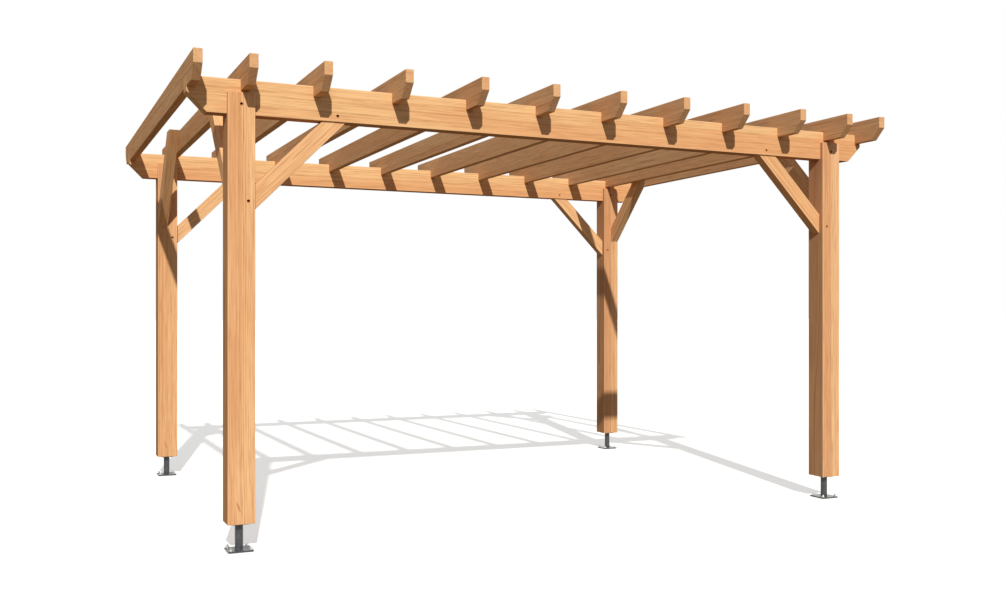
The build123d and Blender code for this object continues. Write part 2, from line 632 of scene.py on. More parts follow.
@dataclass(frozen=True)
class MetalFinish:
    """Colour and surface of painted or plated steel.

    Args:
        name: the material's name.
        colour: its main colour.
        worn: the colour of its duller patches.
        metallic: 1 for bare or plated metal, 0 for paint.
        roughness: its mean roughness.
        grain: size of the fine texture of its surface, as a noise scale.
        texture: height of that texture.
        texture_strength: the share of it which shows.
        specular: strength of the gloss of paint or dull steel.
        patch_grain: size of the duller patches, as a noise scale.
        roughness_spread: how much rougher the dullest patch is than the brightest.
    """

    name: str
    colour: Colour
    worn: Colour
    metallic: float
    roughness: float
    grain: float
    texture: float
    texture_strength: float = 0.4
    specular: float = 0.5
    patch_grain: float = 38.0
    roughness_spread: float = 0.22

    def material(self) -> bpy.types.Material:
        """Make the finish.

        Returns:
            The material.
        """
        material, wiring, shader = blank_material(self.name)
        place = wiring.read("ShaderNodeTexCoord", output="Object")
        patches = wiring.noise(place, scale=self.patch_grain, detail=3.0)
        fine = wiring.noise(place, scale=self.grain)
        raised = {"Strength": self.texture_strength, "Distance": self.texture, "Height": fine}
        wiring.fill(shader, {
            "Base Color": wiring.blended(wiring.step(patches, 0.42, 0.72), self.colour, self.worn),
            "Roughness": patches * self.roughness_spread + (self.roughness - self.roughness_spread / 2),
            "Normal": wiring.read("ShaderNodeBump", raised),
            "Metallic": self.metallic,
            "Specular IOR Level": self.specular,
        })
        return material


@dataclass(frozen=True)
class BoreFinish:
    """The inside of a bored hole, with the hole's shade painted into its colour.

    Args:
        name: the material's name.
        colour: colour of the cut wood in the shade of the bore.
        burnt: colour of the rings that the bit has scorched.
        scorch_grain: size of those rings, as a noise scale.
        roughness: the least roughness of its wood.
        roughness_spread: how much rougher the burnt rings are.
        specular: strength of its gloss.
    """

    name: str = "bored_wood_painted_shade"
    colour: Colour = (0.28, 0.080, 0.022, 1.0)
    burnt: Colour = (0.10, 0.028, 0.008, 1.0)
    scorch_grain: float = 420.0
    roughness: float = 0.65
    roughness_spread: float = 0.2
    specular: float = 0.02

    def material(self) -> bpy.types.Material:
        """Make the finish.

        Returns:
            The material.
        """
        material, wiring, shader = blank_material(self.name)
        place = wiring.read("ShaderNodeTexCoord", output="Object")
        scorch = wiring.noise(place, scale=self.scorch_grain, detail=3.0)
        # Base colour: the wood inside the hole with its shade painted in, and darker scorched rings
        wiring.fill(shader, {
            "Base Color": wiring.blended(wiring.step(scorch, 0.35, 0.65), self.colour, self.burnt),
            "Roughness": scorch * self.roughness_spread + self.roughness,
            "Specular IOR Level": self.specular,
        })
        return material


# Trees that shape the pieces


def planed_bar_tree() -> bpy.types.NodeTree:
    """Build the tree that shapes a timber: a bar less a box at every point that it is given.

    Returns:
        A geometry node tree. Its points carry the size and turn of the box that is cut away.
    """
    numbers = dict.fromkeys(("Length", "Width", "Height", "Cut Edge Share"), Socket.NUMBER)
    inputs = {"Cuts": Socket.SHAPE, **numbers, "Finish": Socket.FINISH}
    wiring, given, result = new_tree("GeometryNodeTree", "planed_bar", inputs, {"Timber": Socket.SHAPE})
    sides = wiring.joined(given["Length"], given["Width"], given["Height"])
    bar = wiring.read("GeometryNodeMeshCube", {"Size": sides})
    box = wiring.read("GeometryNodeMeshCube", {"Size": (1.0, 1.0, 1.0)})
    turn = wiring.read("FunctionNodeEulerToRotation", {0: wiring.carried("cut_turn")})
    cut = wiring.less(bar, wiring.copies(given["Cuts"], box, turn, wiring.carried("cut_size")))

    # The four planed edges are eased in full, the edges of the cuts by a share
    nearly_half, least_angle = 0.499, math.radians(20)
    ends = wiring.signals(wiring.add("GeometryNodeInputMeshEdgeVertices"))
    middle = wiring.scaled(wiring.vector("ADD", ends["Position 1"], ends["Position 2"]), 0.5)
    _, y, z = wiring.split(wiring.vector("ABSOLUTE", middle))
    beside = wiring.math("GREATER_THAN", y, given["Width"] * nearly_half)
    above = wiring.math("GREATER_THAN", z, given["Height"] * nearly_half)
    angle = wiring.read("GeometryNodeInputMeshEdgeAngle", output="Signed Angle")
    share = wiring.math("MAXIMUM", beside * above, given["Cut Edge Share"])
    share = share * wiring.math("GREATER_THAN", angle, least_angle)
    weights = {"Geometry": cut, "Name": "bevel_weight_edge", "Value": share}
    eased = wiring.read("GeometryNodeStoreNamedAttribute", weights, data_type="FLOAT", domain="EDGE")
    whole = wiring.read("GeometryNodeRealizeInstances", {0: eased})
    wiring.fill(result, {0: wiring.dressed(whole, given["Finish"])})
    return wiring.tree


def bored_tree() -> bpy.types.NodeTree:
    """Build the tree that bores a round hole into a timber at every point of another object.

    Returns:
        A geometry node tree. The points carry the direction that the hole's mouth faces.
    """
    numbers = dict.fromkeys(BORE_NUMBERS, Socket.NUMBER)
    inputs = {"Timber": Socket.SHAPE, "Holes": Socket.PIECE, **numbers, "Finish": Socket.FINISH}
    wiring, given, result = new_tree("GeometryNodeTree", "bored", inputs, {"Timber": Socket.SHAPE})
    places = wiring.read("GeometryNodeObjectInfo", {"Object": given["Holes"]}, "Geometry")
    turn = wiring.towards()
    sides = 24

    def drilled(body: Signal, mouth: Signal, floor: Signal, depth: Signal) -> Signal:
        """Bore a cone into a body at every point.

        Args:
            body: the body.
            mouth: the cone's radius at the surface.
            floor: its radius at the bottom.
            depth: its depth.

        Returns:
            The bored body.
        """
        top = mouth + (mouth - floor)
        sizes = {"Vertices": sides, "Radius Top": top, "Radius Bottom": floor, "Depth": depth * 2.0}
        cone = wiring.read("GeometryNodeMeshCone", sizes, "Mesh")
        sinking = {"Geometry": cone, "Translation": wiring.joined(0.0, 0.0, depth * -1.0)}
        bit = wiring.dressed(wiring.read("GeometryNodeTransform", sinking), given["Finish"])
        return wiring.less(body, wiring.copies(places, bit, turn))

    bored = drilled(given["Timber"], given["Mouth Radius"], given["Floor Radius"], given["Depth"])
    rimmed = drilled(bored, given["Mouth Radius"] + given["Rim"], given["Mouth Radius"], given["Rim"])
    whole = wiring.read("GeometryNodeRealizeInstances", {0: rimmed})
    inside = wiring.read("GeometryNodeMaterialSelection", {"Material": given["Finish"]})
    wiring.fill(result, {0: wiring.dressed(whole, given["Finish"], inside)})
    return wiring.tree


def placed_tree() -> bpy.types.NodeTree:
    """Build the tree that puts a copy of a small piece at every point that it is given.

    Returns:
        A geometry node tree. The points carry the direction that the piece's top faces.
    """
    inputs = {
        "Places": Socket.SHAPE, "Piece": Socket.PIECE, "Turn Seed": Socket.COUNT, "Finish": Socket.FINISH,
    }
    wiring, given, result = new_tree("GeometryNodeTree", "placed", inputs, {"Pieces": Socket.SHAPE})
    piece = wiring.read("GeometryNodeObjectInfo", {"Object": given["Piece"]}, "Geometry")
    limits = {"Min": (0.0, 0.0, 0.0), "Max": (0.0, 0.0, math.tau), "Seed": given["Turn Seed"]}
    spin = wiring.read("FunctionNodeRandomValue", limits, data_type="FLOAT_VECTOR")
    spun = wiring.read("FunctionNodeEulerToRotation", {0: spin})
    turn = wiring.read("FunctionNodeRotateRotation", {0: wiring.towards(), 1: spun}, rotation_space="LOCAL")
    wiring.fill(result, {0: wiring.dressed(wiring.copies(given["Places"], piece, turn), given["Finish"])})
    return wiring.tree


def run_tree(shown: bpy.types.Object, tree: str, values: dict[str, object]) -> None:
    """Put a Geometry Nodes modifier on an object.

    Args:
        shown: the object.
        tree: the name of the modifier's tree.
        values: the tree's inputs, by name.
    """
    modifier = shown.modifiers.new(tree, "NODES")
    modifier.node_group = bpy.data.node_groups[tree]
    items = modifier.node_group.interface.items_tree
    sockets = {item.name: item.identifier for item in items if item.in_out == "INPUT"}
    for label, value in values.items():
        modifier[sockets[label]] = value


def new_object(name: str, data: bpy.types.ID) -> bpy.types.Object:
    """Put a mesh, lamp or camera into the scene as an object at the origin.

    Args:
        name: the object's name.
        data: the mesh, lamp or camera.

    Returns:
        The object.
    """
    made = bpy.data.objects.new(name, data)
    bpy.context.scene.collection.objects.link(made)
    return made


def point_cloud(name: str, places: list[Vector], vectors: dict[str, list[Vector]]) -> bpy.types.Object:
    """Make an object that only holds points with a vector or more at each.

    Args:
        name: the object's name.
        places: the points.
        vectors: the vectors at the points, by the attribute's name.

    Returns:
        The object.
    """
    mesh = bpy.data.meshes.new(name)
    mesh.from_pydata([tuple(place) for place in places], [], [])
    for label, values in vectors.items():
        attribute = mesh.attributes.new(label, "FLOAT_VECTOR", "POINT")
        attribute.data.foreach_set("vector", [part for value in values for part in value])
    return new_object(name, mesh)


def settled(shown: bpy.types.Object) -> bpy.types.Mesh:
    """Turn an object's shape into a plain mesh and remove the object.

    Args:
        shown: the object, with its modifiers.

    Returns:
        Its shape after them.
    """
    bpy.context.view_layer.update()
    graph = bpy.context.evaluated_depsgraph_get()
    shape = shown.evaluated_get(graph)
    mesh = bpy.data.meshes.new_from_object(shape, preserve_all_data_layers=True, depsgraph=graph)
    bpy.data.objects.remove(shown)
    return mesh


def softened(mesh: bpy.types.Mesh, name: str, sharp: float = math.radians(32)) -> bpy.types.Object:
    """Shade a mesh smooth over its eased edges, with flat faces left flat.

    Args:
        mesh: the mesh, in place.
        name: the name of the piece.
        sharp: the angle from which an edge stays crisp.

    Returns:
        The finished piece, with no modifier on it.
    """
    mesh.shade_smooth()
    mesh.set_sharp_from_angle(angle=sharp)
    rough = new_object(name + "_rough", mesh)
    weighing = rough.modifiers.new("weighing", "WEIGHTED_NORMAL")
    weighing.keep_sharp = True
    final = settled(rough)
    final.name = name
    return new_object(name, final)


# Timber


@dataclass(frozen=True)
class Cut:
    """A box that is taken off a bar, in the bar's own space.

    Args:
        centre: the box's middle.
        size: its size.
        turn: how far it is turned about the bar's own Y.
    """

    centre: Vector
    size: Vector
    turn: float = 0.0


@dataclass(frozen=True)
class Hole:
    """A bored hole, or the seat of a small piece, in the frame.

    Args:
        place: the middle of its mouth.
        facing: the direction that its mouth faces.
        sunk: how much deeper its head sits than the rest.
    """

    place: Vector
    facing: Vector
    sunk: float = 0.0


@dataclass(frozen=True)
class Bore:
    """Sizes of one kind of bored hole, and of the head that sits in it.

    Args:
        mouth_radius: radius at the surface, inside the rim.
        floor_radius: radius at the bottom.
        depth: depth of the hole.
        rim: width of the chamfer around the mouth.
        head_depth: depth of the top of the screw head.
    """

    mouth_radius: float
    floor_radius: float
    depth: float
    rim: float
    head_depth: float

    def head_places(self, holes: list[Hole]) -> list[Hole]:
        """Return where the tops of the heads are."""
        depths = [self.head_depth + hole.sunk for hole in holes]
        return [Hole(hole.place - hole.facing * depth, hole.facing) for hole, depth in zip(holes, depths)]


PIN_BORE = Bore(mouth_radius=0.0072, floor_radius=0.0072, depth=0.015, rim=0.0010, head_depth=0.0100)
SCREW_BORE = Bore(mouth_radius=0.0046, floor_radius=0.0030, depth=0.0030, rim=0.0002, head_depth=0.0003)
FAR_OFF = Vector((9.0, 9.0, 9.0))


@dataclass
class Timber:
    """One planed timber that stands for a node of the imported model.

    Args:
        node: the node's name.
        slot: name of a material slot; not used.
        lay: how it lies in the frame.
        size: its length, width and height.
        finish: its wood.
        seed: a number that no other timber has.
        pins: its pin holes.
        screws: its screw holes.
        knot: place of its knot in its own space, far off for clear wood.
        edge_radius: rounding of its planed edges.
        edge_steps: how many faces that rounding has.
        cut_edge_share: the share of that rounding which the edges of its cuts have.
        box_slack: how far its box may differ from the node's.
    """

    node: str
    slot: str
    lay: Lay
    size: Vector
    finish: TimberFinish
    seed: int
    pins: list[Hole] = field(default_factory=list)
    screws: list[Hole] = field(default_factory=list)
    knot: Vector = field(default_factory=FAR_OFF.copy)
    edge_radius: float = 0.003
    edge_steps: int = 3
    cut_edge_share: float = 0.5
    box_slack: float = 0.003

    def cuts(self) -> list[Cut]:
        """Return the boxes that are cut away."""
        return []

    def blank(self, name: str, wood: bpy.types.Material) -> bpy.types.Object:
        """Set up the bar with its cuts and eased edges, before its holes.

        Args:
            name: the name of the piece.
            wood: its material.

        Returns:
            An object with the modifiers on it.
        """
        cuts = self.cuts()
        turns = [Vector((0.0, cut.turn, 0.0)) for cut in cuts]
        boxes = {"cut_size": [cut.size for cut in cuts], "cut_turn": turns}
        blank = point_cloud(f"{name}_cuts", [cut.centre for cut in cuts], boxes)
        run_tree(blank, "planed_bar", {
            "Length": self.size.x, "Width": self.size.y, "Height": self.size.z,
            "Cut Edge Share": self.cut_edge_share, "Finish": wood,
        })
        easing = blank.modifiers.new("easing", "BEVEL")
        easing.limit_method = "WEIGHT"
        easing.width = self.edge_radius
        easing.segments = self.edge_steps
        return blank

    def build(self, bore_finish: bpy.types.Material) -> bpy.types.Object:
        """Shape and dress the timber.

        Args:
            bore_finish: the inside of its holes.

        Returns:
            The finished piece.
        """
        name = f"planed_{self.node}"
        matrix = self.lay.matrix()
        into_bar = matrix.inverted()
        wood = self.finish.material(f"{name}_wood", self.lay, self.size, self.seed, self.knot)
        blank = self.blank(name, wood)
        helpers = []
        for bore, holes in ((PIN_BORE, self.pins), (SCREW_BORE, self.screws)):
            if not holes:
                continue
            facings = [into_bar.to_3x3() @ hole.facing for hole in holes]
            places = [into_bar @ hole.place for hole in holes]
            helpers.append(point_cloud(f"{name}_holes", places, {"facing": facings}))
            values = {"Holes": helpers[-1], "Finish": bore_finish, **handed(bore, BORE_NUMBERS)}
            run_tree(blank, "bored", values)
        mesh = settled(blank)
        for helper in helpers:
            bpy.data.objects.remove(helper)
        mesh.transform(matrix)
        piece = softened(mesh, name)
        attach(piece, BODY)
        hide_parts(self.node)
        self.check_box(piece)
        log.info("%s: %d faces, %d holes", name, len(piece.data.polygons), len(self.pins) + len(self.screws))
        return piece

    def check_box(self, piece: bpy.types.Object) -> None:
        """Stop the script if the piece isn't where its node is.

        Args:
            piece: the finished piece.
        """
        low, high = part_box(self.node)
        corners = [vertex.co for vertex in piece.data.vertices]
        for axis in range(3):
            least, most = min(c[axis] for c in corners), max(c[axis] for c in corners)
            if max(abs(least - low[axis]), abs(most - high[axis])) > self.box_slack:
                raise ValueError(f"{piece.name} reaches {least:.4f} to {most:.4f} on axis {axis}")


@dataclass
class Post(Timber):
    """An upright whose forked head takes the beam between two cheeks.

    Args:
        fork_depth: depth of the fork below the post's top.
        fork_width: width of the fork.
    """

    fork_depth: float = 0.110
    fork_width: float = 0.091

    def cuts(self) -> list[Cut]:
        """Return the fork."""
        size = Vector((2 * self.fork_depth, 2 * self.size.y, self.fork_width))
        return [Cut(Vector((self.size.x / 2, 0.0, 0.0)), size)]


@dataclass
class Beam(Timber):
    """A long beam whose lower end corners are cut off.

    Args:
        end_cut: leg of the 45 degree cut.
    """

    end_cut: float = 0.100

    def cuts(self) -> list[Cut]:
        """Lay out the cuts.

        Returns:
            The two end cuts.
        """
        size = Vector((self.end_cut * math.sqrt(2), 2 * self.size.y, 4 * self.end_cut))
        x, z = self.size.x / 2, -self.size.z / 2
        return [Cut(Vector((side * x, 0.0, z)), size, side * math.radians(45)) for side in (-1, 1)]


@dataclass
class Rafter(Beam):
    """A rafter with end cuts and a housing over each beam.

    Args:
        end_cut: leg of the 45 degree cut.
        housing_depth: depth of the housing.
        housing_width: its width.
        housing_place: distance from the rafter's middle to each housing.
    """

    end_cut: float = 0.073
    housing_depth: float = 0.057
    housing_width: float = 0.091
    housing_place: float = 1.430

    def cuts(self) -> list[Cut]:
        """Lay out the cuts.

        Returns:
            The end cuts and the two housings.
        """
        size = Vector((self.housing_width, 2 * self.size.y, 2 * self.housing_depth))
        z = -self.size.z / 2
        housings = [Cut(Vector((side * self.housing_place, 0.0, z)), size) for side in (-1, 1)]
        return super().cuts() + housings


@dataclass
class Brace(Timber):
    """A brace at 45 degrees: one end stands against a post, the other is cut level.

    Args:
        spare: how much longer its bar is than what is left of it.
        cut_reach: size of the boxes that cut its ends.
    """

    spare: float = 0.01
    cut_reach: float = 0.25

    def cuts(self) -> list[Cut]:
        """Lay out the cuts.

        Returns:
            The cut against the post and the level cut.
        """
        half_line = (self.size.x - self.size.z - self.spare) / 2
        box = Vector((self.cut_reach, 2 * self.size.y, self.cut_reach))
        slope = math.sqrt(0.5) * self.cut_reach / 2
        places = [Vector((side * (half_line + slope), 0.0, slope)) for side in (-1, 1)]
        return [Cut(place, box, math.radians(45)) for place in places]


# Small steel pieces


def polar(radius: float, angle: float, height: float) -> Triple:
    """Return a place by its distance and direction from the Z axis, and its height."""
    return radius * math.cos(angle), radius * math.sin(angle), height


def ring_of(
    shape: bmesh.types.BMesh, radius: float, height: float, sides: int, corner: float = math.inf
) -> list[bmesh.types.BMVert]:
    """Add a level ring of vertices round the Z axis: a circle, a hexagon, or the inner line of both.

    Args:
        shape: the mesh that is filled.
        radius: the circle's radius.
        height: height of the ring.
        sides: how many vertices it has.
        corner: distance from the axis to the hexagon's corners.

    Returns:
        The vertices.
    """
    ring = []
    for index in range(sides):
        angle = math.tau * index / sides
        edge = corner * math.cos(math.pi / 6) / math.cos(angle % (math.pi / 3) - math.pi / 6)
        ring.append(shape.verts.new(polar(min(radius, edge), angle, height)))
    return ring


def skin(
    shape: bmesh.types.BMesh, rings: list[list[bmesh.types.BMVert]], closed: bool = True
) -> None:
    """Join rings of equal count into a body.

    Args:
        shape: the mesh that is filled.
        rings: the rings, in order along the body.
        closed: whether the first and the last ring get a face.
    """
    for lower, upper in zip(rings, rings[1:]):
        for index, low in enumerate(lower):
            after = (index + 1) % len(lower)
            shape.faces.new((low, lower[after], upper[after], upper[index]))
    if closed:
        shape.faces.new(list(reversed(rings[0])))
        shape.faces.new(rings[-1])


def finished(shape: bmesh.types.BMesh, name: str) -> bpy.types.Mesh:
    """Turn a mesh in the making into one whose faces point outwards.

    Args:
        shape: the mesh in the making, which is freed.
        name: the mesh's name.

    Returns:
        The mesh.
    """
    bmesh.ops.remove_doubles(shape, verts=shape.verts, dist=1e-6)
    bmesh.ops.recalc_face_normals(shape, faces=shape.faces)
    mesh = bpy.data.meshes.new(name)
    shape.to_mesh(mesh)
    shape.free()
    return mesh


@dataclass(frozen=True)
class SocketHead:
    """Head of a screw with a six-sided socket. Its top is at z = 0.

    Args:
        radius: the head's radius.
        height: the head's height.
        socket: radius of the socket's corners.
        socket_depth: depth of the socket.
        taper: the share of the radius that is left at the underside.
        ease: rounding of the top edge, as a share of the radius.
        mouth: radius of the socket's chamfer, as a share of the socket's.
        mouth_depth: depth of that chamfer, as a share of the socket's radius.
        sides: how many sides the round parts have.
    """

    radius: float
    height: float
    socket: float
    socket_depth: float
    taper: float = 1.0
    ease: float = 0.12
    mouth: float = 1.15
    mouth_depth: float = 0.12
    sides: int = 24

    def mesh(self) -> bpy.types.Mesh:
        """Model the head.

        Returns:
            The mesh.
        """
        shape = bmesh.new()
        ease = self.radius * self.ease
        outline = (
            (self.radius * self.taper, -self.height), (self.radius, -ease), (self.radius - ease, 0.0),
            (self.socket * self.mouth, 0.0),
        )
        rings = [ring_of(shape, radius, height, self.sides) for radius, height in outline]
        for height in (-self.socket * self.mouth_depth, -self.socket_depth):
            rings.append(ring_of(shape, math.inf, height, self.sides, self.socket))
        skin(shape, rings)
        return finished(shape, "socket_head")


@dataclass(frozen=True)
class AnchorEnd:
    """Washer, nut and thread end of an anchor bolt. The washer's underside is at z = 0.

    Args:
        washer_radius: the washer's radius.
        washer_height: its thickness.
        washer_ease: rounding of its edges.
        nut_radius: radius of the nut's corners.
        nut_height: the nut's height.
        nut_eases: height of the chamfer at its foot and at its top.
        nut_round: radius of that chamfer, as a share of the distance to the nut's flats.
        thread_radius: the thread's radius.
        thread_height: height of the thread's end above the plate.
        thread_pitch: distance from turn to turn.
        root_share: the share of the thread's radius that is left at its root.
        tip_share: the share that is left at its end.
        sides: how many sides the washer and the nut have.
        thread_sides: how many sides the thread has.
    """

    washer_radius: float = 0.0105
    washer_height: float = 0.002
    washer_ease: float = 0.0004
    nut_radius: float = 0.0092
    nut_height: float = 0.008
    nut_eases: Pair = (0.0008, 0.0012)
    nut_round: float = 1.01
    thread_radius: float = 0.005
    thread_height: float = 0.018
    thread_pitch: float = 0.0015
    root_share: float = 0.88
    tip_share: float = 0.74
    sides: int = 24
    thread_sides: int = 20

    def mesh(self) -> bpy.types.Mesh:
        """Model the three parts.

        Returns:
            The mesh.
        """
        shape = bmesh.new()
        inner, ease = self.washer_radius - self.washer_ease, self.washer_ease
        low, high = self.washer_height, self.washer_height + self.nut_height
        washer = ((inner, 0.0), (self.washer_radius, ease), (self.washer_radius, low - ease), (inner, low))
        skin(shape, [ring_of(shape, radius, height, self.sides) for radius, height in washer])
        end = self.nut_radius * math.cos(math.pi / 6) * self.nut_round
        foot, top = low + self.nut_eases[0], high - self.nut_eases[1]
        nut = ((end, low), (math.inf, foot), (math.inf, top), (end, high))
        skin(shape, [ring_of(shape, limit, height, self.sides, self.nut_radius) for limit, height in nut])
        root, pitch = self.thread_radius * self.root_share, self.thread_pitch
        turns = int((self.thread_height - high) / pitch)
        thread = []
        for turn in range(turns):
            height = high + turn * pitch
            thread += [(root, height), (self.thread_radius, height + pitch / 2)]
        thread += [(root, high + turns * pitch), (self.thread_radius * self.tip_share, self.thread_height)]
        skin(shape, [ring_of(shape, radius, height, self.thread_sides) for radius, height in thread])
        return finished(shape, "anchor_end")


@dataclass(frozen=True)
class WeldBead:
    """Fillet weld round a tube that stands on a plate. The plate's face is at z = 0.

    Args:
        tube_radius: the tube's radius.
        leg: the bead's leg.
        ripples: how many ripples it has.
        ripple_depth: depth of a ripple, as a share of the leg.
        waver: how much the leg varies round the tube, as a share.
        hollow: how far its face is hollowed, 1 for a whole quarter circle.
        steps: how many steps it is made of.
        points: how many points its face has across.
        lap: how far its face starts inside the tube.
        core: how far its hidden side lies inside the tube.
        sunk: how far it reaches into the plate.
    """

    tube_radius: float = 0.0212
    leg: float = 0.0042
    ripples: int = 26
    ripple_depth: float = 0.14
    waver: float = 0.05
    hollow: float = 0.96
    steps: int = 104
    points: int = 5
    lap: float = 0.0006
    core: float = 0.0008
    sunk: float = 0.0002

    def section(self, shape: bmesh.types.BMesh, angle: float) -> list[bmesh.types.BMVert]:
        """Add the bead's section in one direction.

        Args:
            shape: the mesh that is filled.
            angle: the direction.

        Returns:
            The section's vertices.
        """
        wave = 1 - self.ripple_depth * (1 - abs(math.sin(self.ripples * angle / 2)))
        leg = self.leg * wave * (1.0 + self.waver * math.sin(3 * angle + 0.7))
        outline = []
        for point in range(self.points):
            lean = math.radians(90) * point / (self.points - 1)
            out, up = leg * (1 - math.sin(lean) * self.hollow), leg * (1 - math.cos(lean) * self.hollow)
            outline.append((self.tube_radius - self.lap + out, up - self.sunk))
        outline.append((self.tube_radius - self.core, -self.sunk))
        return [shape.verts.new(polar(radius, angle, height)) for radius, height in outline]

    def mesh(self) -> bpy.types.Mesh:
        """Model the bead.

        Returns:
            The mesh.
        """
        shape = bmesh.new()
        sections = [self.section(shape, math.tau * step / self.steps) for step in range(self.steps)]
        skin(shape, [*sections, sections[0]], closed=False)
        return finished(shape, "weld_bead")


def set_in_place(
    name: str, part: bpy.types.Mesh, places: list[Hole], finish: bpy.types.Material, turn_seed: int
) -> bpy.types.Object:
    """Put copies of a small steel piece where they belong, as one mesh.

    Args:
        name: the name of the set.
        part: the small piece.
        places: where each copy sits and what its top faces.
        finish: the copies' finish.
        turn_seed: fixes how each copy is turned about its own axis.

    Returns:
        The finished set.
    """
    model = new_object(name + "_model", part)
    facings = {"facing": [place.facing for place in places]}
    cloud = point_cloud(name + "_places", [place.place for place in places], facings)
    run_tree(cloud, "placed", {"Piece": model, "Turn Seed": turn_seed, "Finish": finish})
    mesh = settled(cloud)
    bpy.data.objects.remove(model)
    piece = softened(mesh, name)
    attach(piece, BODY)
    log.info("%s: %d set in place, %d faces", name, len(places), len(piece.data.polygons))
    return piece


# The whole


@dataclass
class Frame:
    """All the timber of the pergola.

    Args:
        post_size: side of a post.
        pin_from_axis: distance from a post's axis to the pin of each brace's foot.
        pin_height: height of the pins of the beam braces' feet.
        right_pin_sunk: how much deeper the pins of the right half sit, below 0 for less deep.
        cheek_pin_height: height of the pins through the forked heads.
        beam_pin_reach: distance from a post's inner face to the pin of the beam brace's head.
        beam_pin_height: height of those pins.
        brace_width: width of a brace.
        brace_thickness: thickness of a brace.
        side_screws: distances down a rafter brace from its level end to its two screws.
        rafter_count: how many rafters there are.
        over_posts: the numbers of the rafters that lie over posts.
        knot_rise: height of the knot of a left post above the post's end.
        knot_from_axis: distance from the post's axis to that knot.
        back_shade: shade of the back posts against the front ones.
        first_seed: the first timber's seed, from which the others count on.
        pins: every pin hole, once the timbers are built.
        screws: every screw hole.
        left_post_finish: wood of the left posts.
        right_post_finish: wood of the right posts, whose two boards differ more.
        beam_finish: wood of the beams.
        rafter_finish: wood of the rafters.
        brace_finish: wood of the braces.
    """

    post_size: float = 0.140
    pin_from_axis: float = 0.035
    pin_height: float = 1.800
    right_pin_sunk: float = -0.0080
    cheek_pin_height: float = 2.2955
    beam_pin_reach: float = 0.442
    beam_pin_height: float = 2.276
    brace_width: float = 0.090
    brace_thickness: float = 0.070
    side_screws: Pair = (0.075, 0.150)
    rafter_count: int = 12
    over_posts: tuple[int, int] = (2, 11)
    knot_rise: float = 0.089
    knot_from_axis: float = -0.015
    back_shade: Triple = (0.94, 0.95, 0.97)
    first_seed: int = 3
    pins: list[Hole] = field(default_factory=list)
    screws: list[Hole] = field(default_factory=list)

    left_post_finish: TimberFinish = TimberFinish(
        pith=(0.13, 0.04), board_width=0.070, board_joint=0.0, board_contrast=0.22,
    )
    right_post_finish: TimberFinish = TimberFinish(
        pith=(0.13, 0.04), board_width=0.070, board_joint=0.0, board_contrast=0.50,
        side_warming=-0.25, shade=(0.965, 0.985, 1.03),
    )
    beam_finish: TimberFinish = TimberFinish(
        pale=(0.815, 0.500, 0.230, 1.0), warm=(0.740, 0.380, 0.166, 1.0), late=(0.470, 0.205, 0.080, 1.0),
        pith=(0.03, -0.22), board_width=0.045, board_joint=0.0, board_contrast=0.20, board_up=1.0,
        warming=0.09,
    )
    rafter_finish: TimberFinish = TimberFinish(
        pale=(0.726, 0.447, 0.222, 1.0), warm=(0.675, 0.367, 0.172, 1.0), late=(0.400, 0.170, 0.068, 1.0),
        pith=(0.0, -0.19), pith_spread=0.13, ring_pitch=0.0052, shade_spread=0.4,
    )
    brace_finish: TimberFinish = TimberFinish(
        pale=(0.810, 0.510, 0.252, 1.0), warm=(0.770, 0.430, 0.198, 1.0),
        pith=(0.04, -0.16), ring_pitch=0.0055,
    )

    def through(self, place: Vector, thickness: float) -> list[Hole]:
        """Return the front and back mouths of a pin hole that goes through a timber."""
        sunk = 0.0 if place.x < 0 else self.right_pin_sunk
        return [Hole(place + facing * thickness / 2, facing, sunk) for facing in (-BACK, BACK)]

    def post(self, row: Row, column: Column, seed: int) -> Post:
        """Lay out one post with its pins.

        Args:
            row: the post's row.
            column: its end of the row.
            seed: a number that no other timber has.

        Returns:
            The post.
        """
        node = f"post_{row.value}_{column.value}"
        low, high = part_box(node)
        middle = (low + high) / 2
        size = Vector((high.z - low.z, high.x - low.x, high.y - low.y))
        foot_pin_x = middle.x - math.copysign(self.pin_from_axis, middle.x)
        pins = self.through(Vector((middle.x, middle.y, self.cheek_pin_height)), self.post_size)
        pins += self.through(Vector((foot_pin_x, middle.y, self.pin_height)), self.post_size)
        finish, knot = self.right_post_finish, FAR_OFF
        if column is Column.LEFT:
            finish = self.left_post_finish
            knot = Vector((self.knot_rise - size.x / 2, self.knot_from_axis, -size.z / 2))
        if row is Row.BACK:
            finish = finish.shaded(self.back_shade)
        return Post(node, "post_timber", Lay(middle, UP, RIGHT), size, finish, seed, pins, knot=knot)

    def beam(self, row: Row, seed: int) -> Beam:
        """Lay out one beam with the pins of its braces.

        Args:
            row: the beam's row.
            seed: a number that no other timber has.

        Returns:
            The beam.
        """
        node = f"beam_{row.value}"
        low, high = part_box(node)
        middle = (low + high) / 2
        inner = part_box(f"post_{row.value}_right")[0].x - self.beam_pin_reach
        pins = []
        for x in (-inner, inner):
            pins += self.through(Vector((x, middle.y, self.beam_pin_height)), high.y - low.y)
        return Beam(node, "beam_timber", Lay(middle, RIGHT, BACK), high - low, self.beam_finish, seed, pins)

    def rafter(self, number: int, seed: int) -> Rafter:
        """Lay out one rafter with its screws.

        Args:
            number: the rafter's number, from the left.
            seed: a number that no other timber has.

        Returns:
            The rafter.
        """
        node = f"rafter_{number:02d}"
        low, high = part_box(node)
        middle = (low + high) / 2
        size = Vector((high.y - low.y, high.x - low.x, high.z - low.z))
        screws = []
        for row in Row:
            beam_low, beam_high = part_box(f"beam_{row.value}")
            screws.append(Hole(Vector((middle.x, (beam_low.y + beam_high.y) / 2, high.z)), UP))
        if number in self.over_posts:
            screws += self.side_screw_holes(middle.x, size.y)
        lay = Lay(middle, BACK, -RIGHT)
        return Rafter(node, "rafter_timber", lay, size, self.rafter_finish, seed, screws=screws)

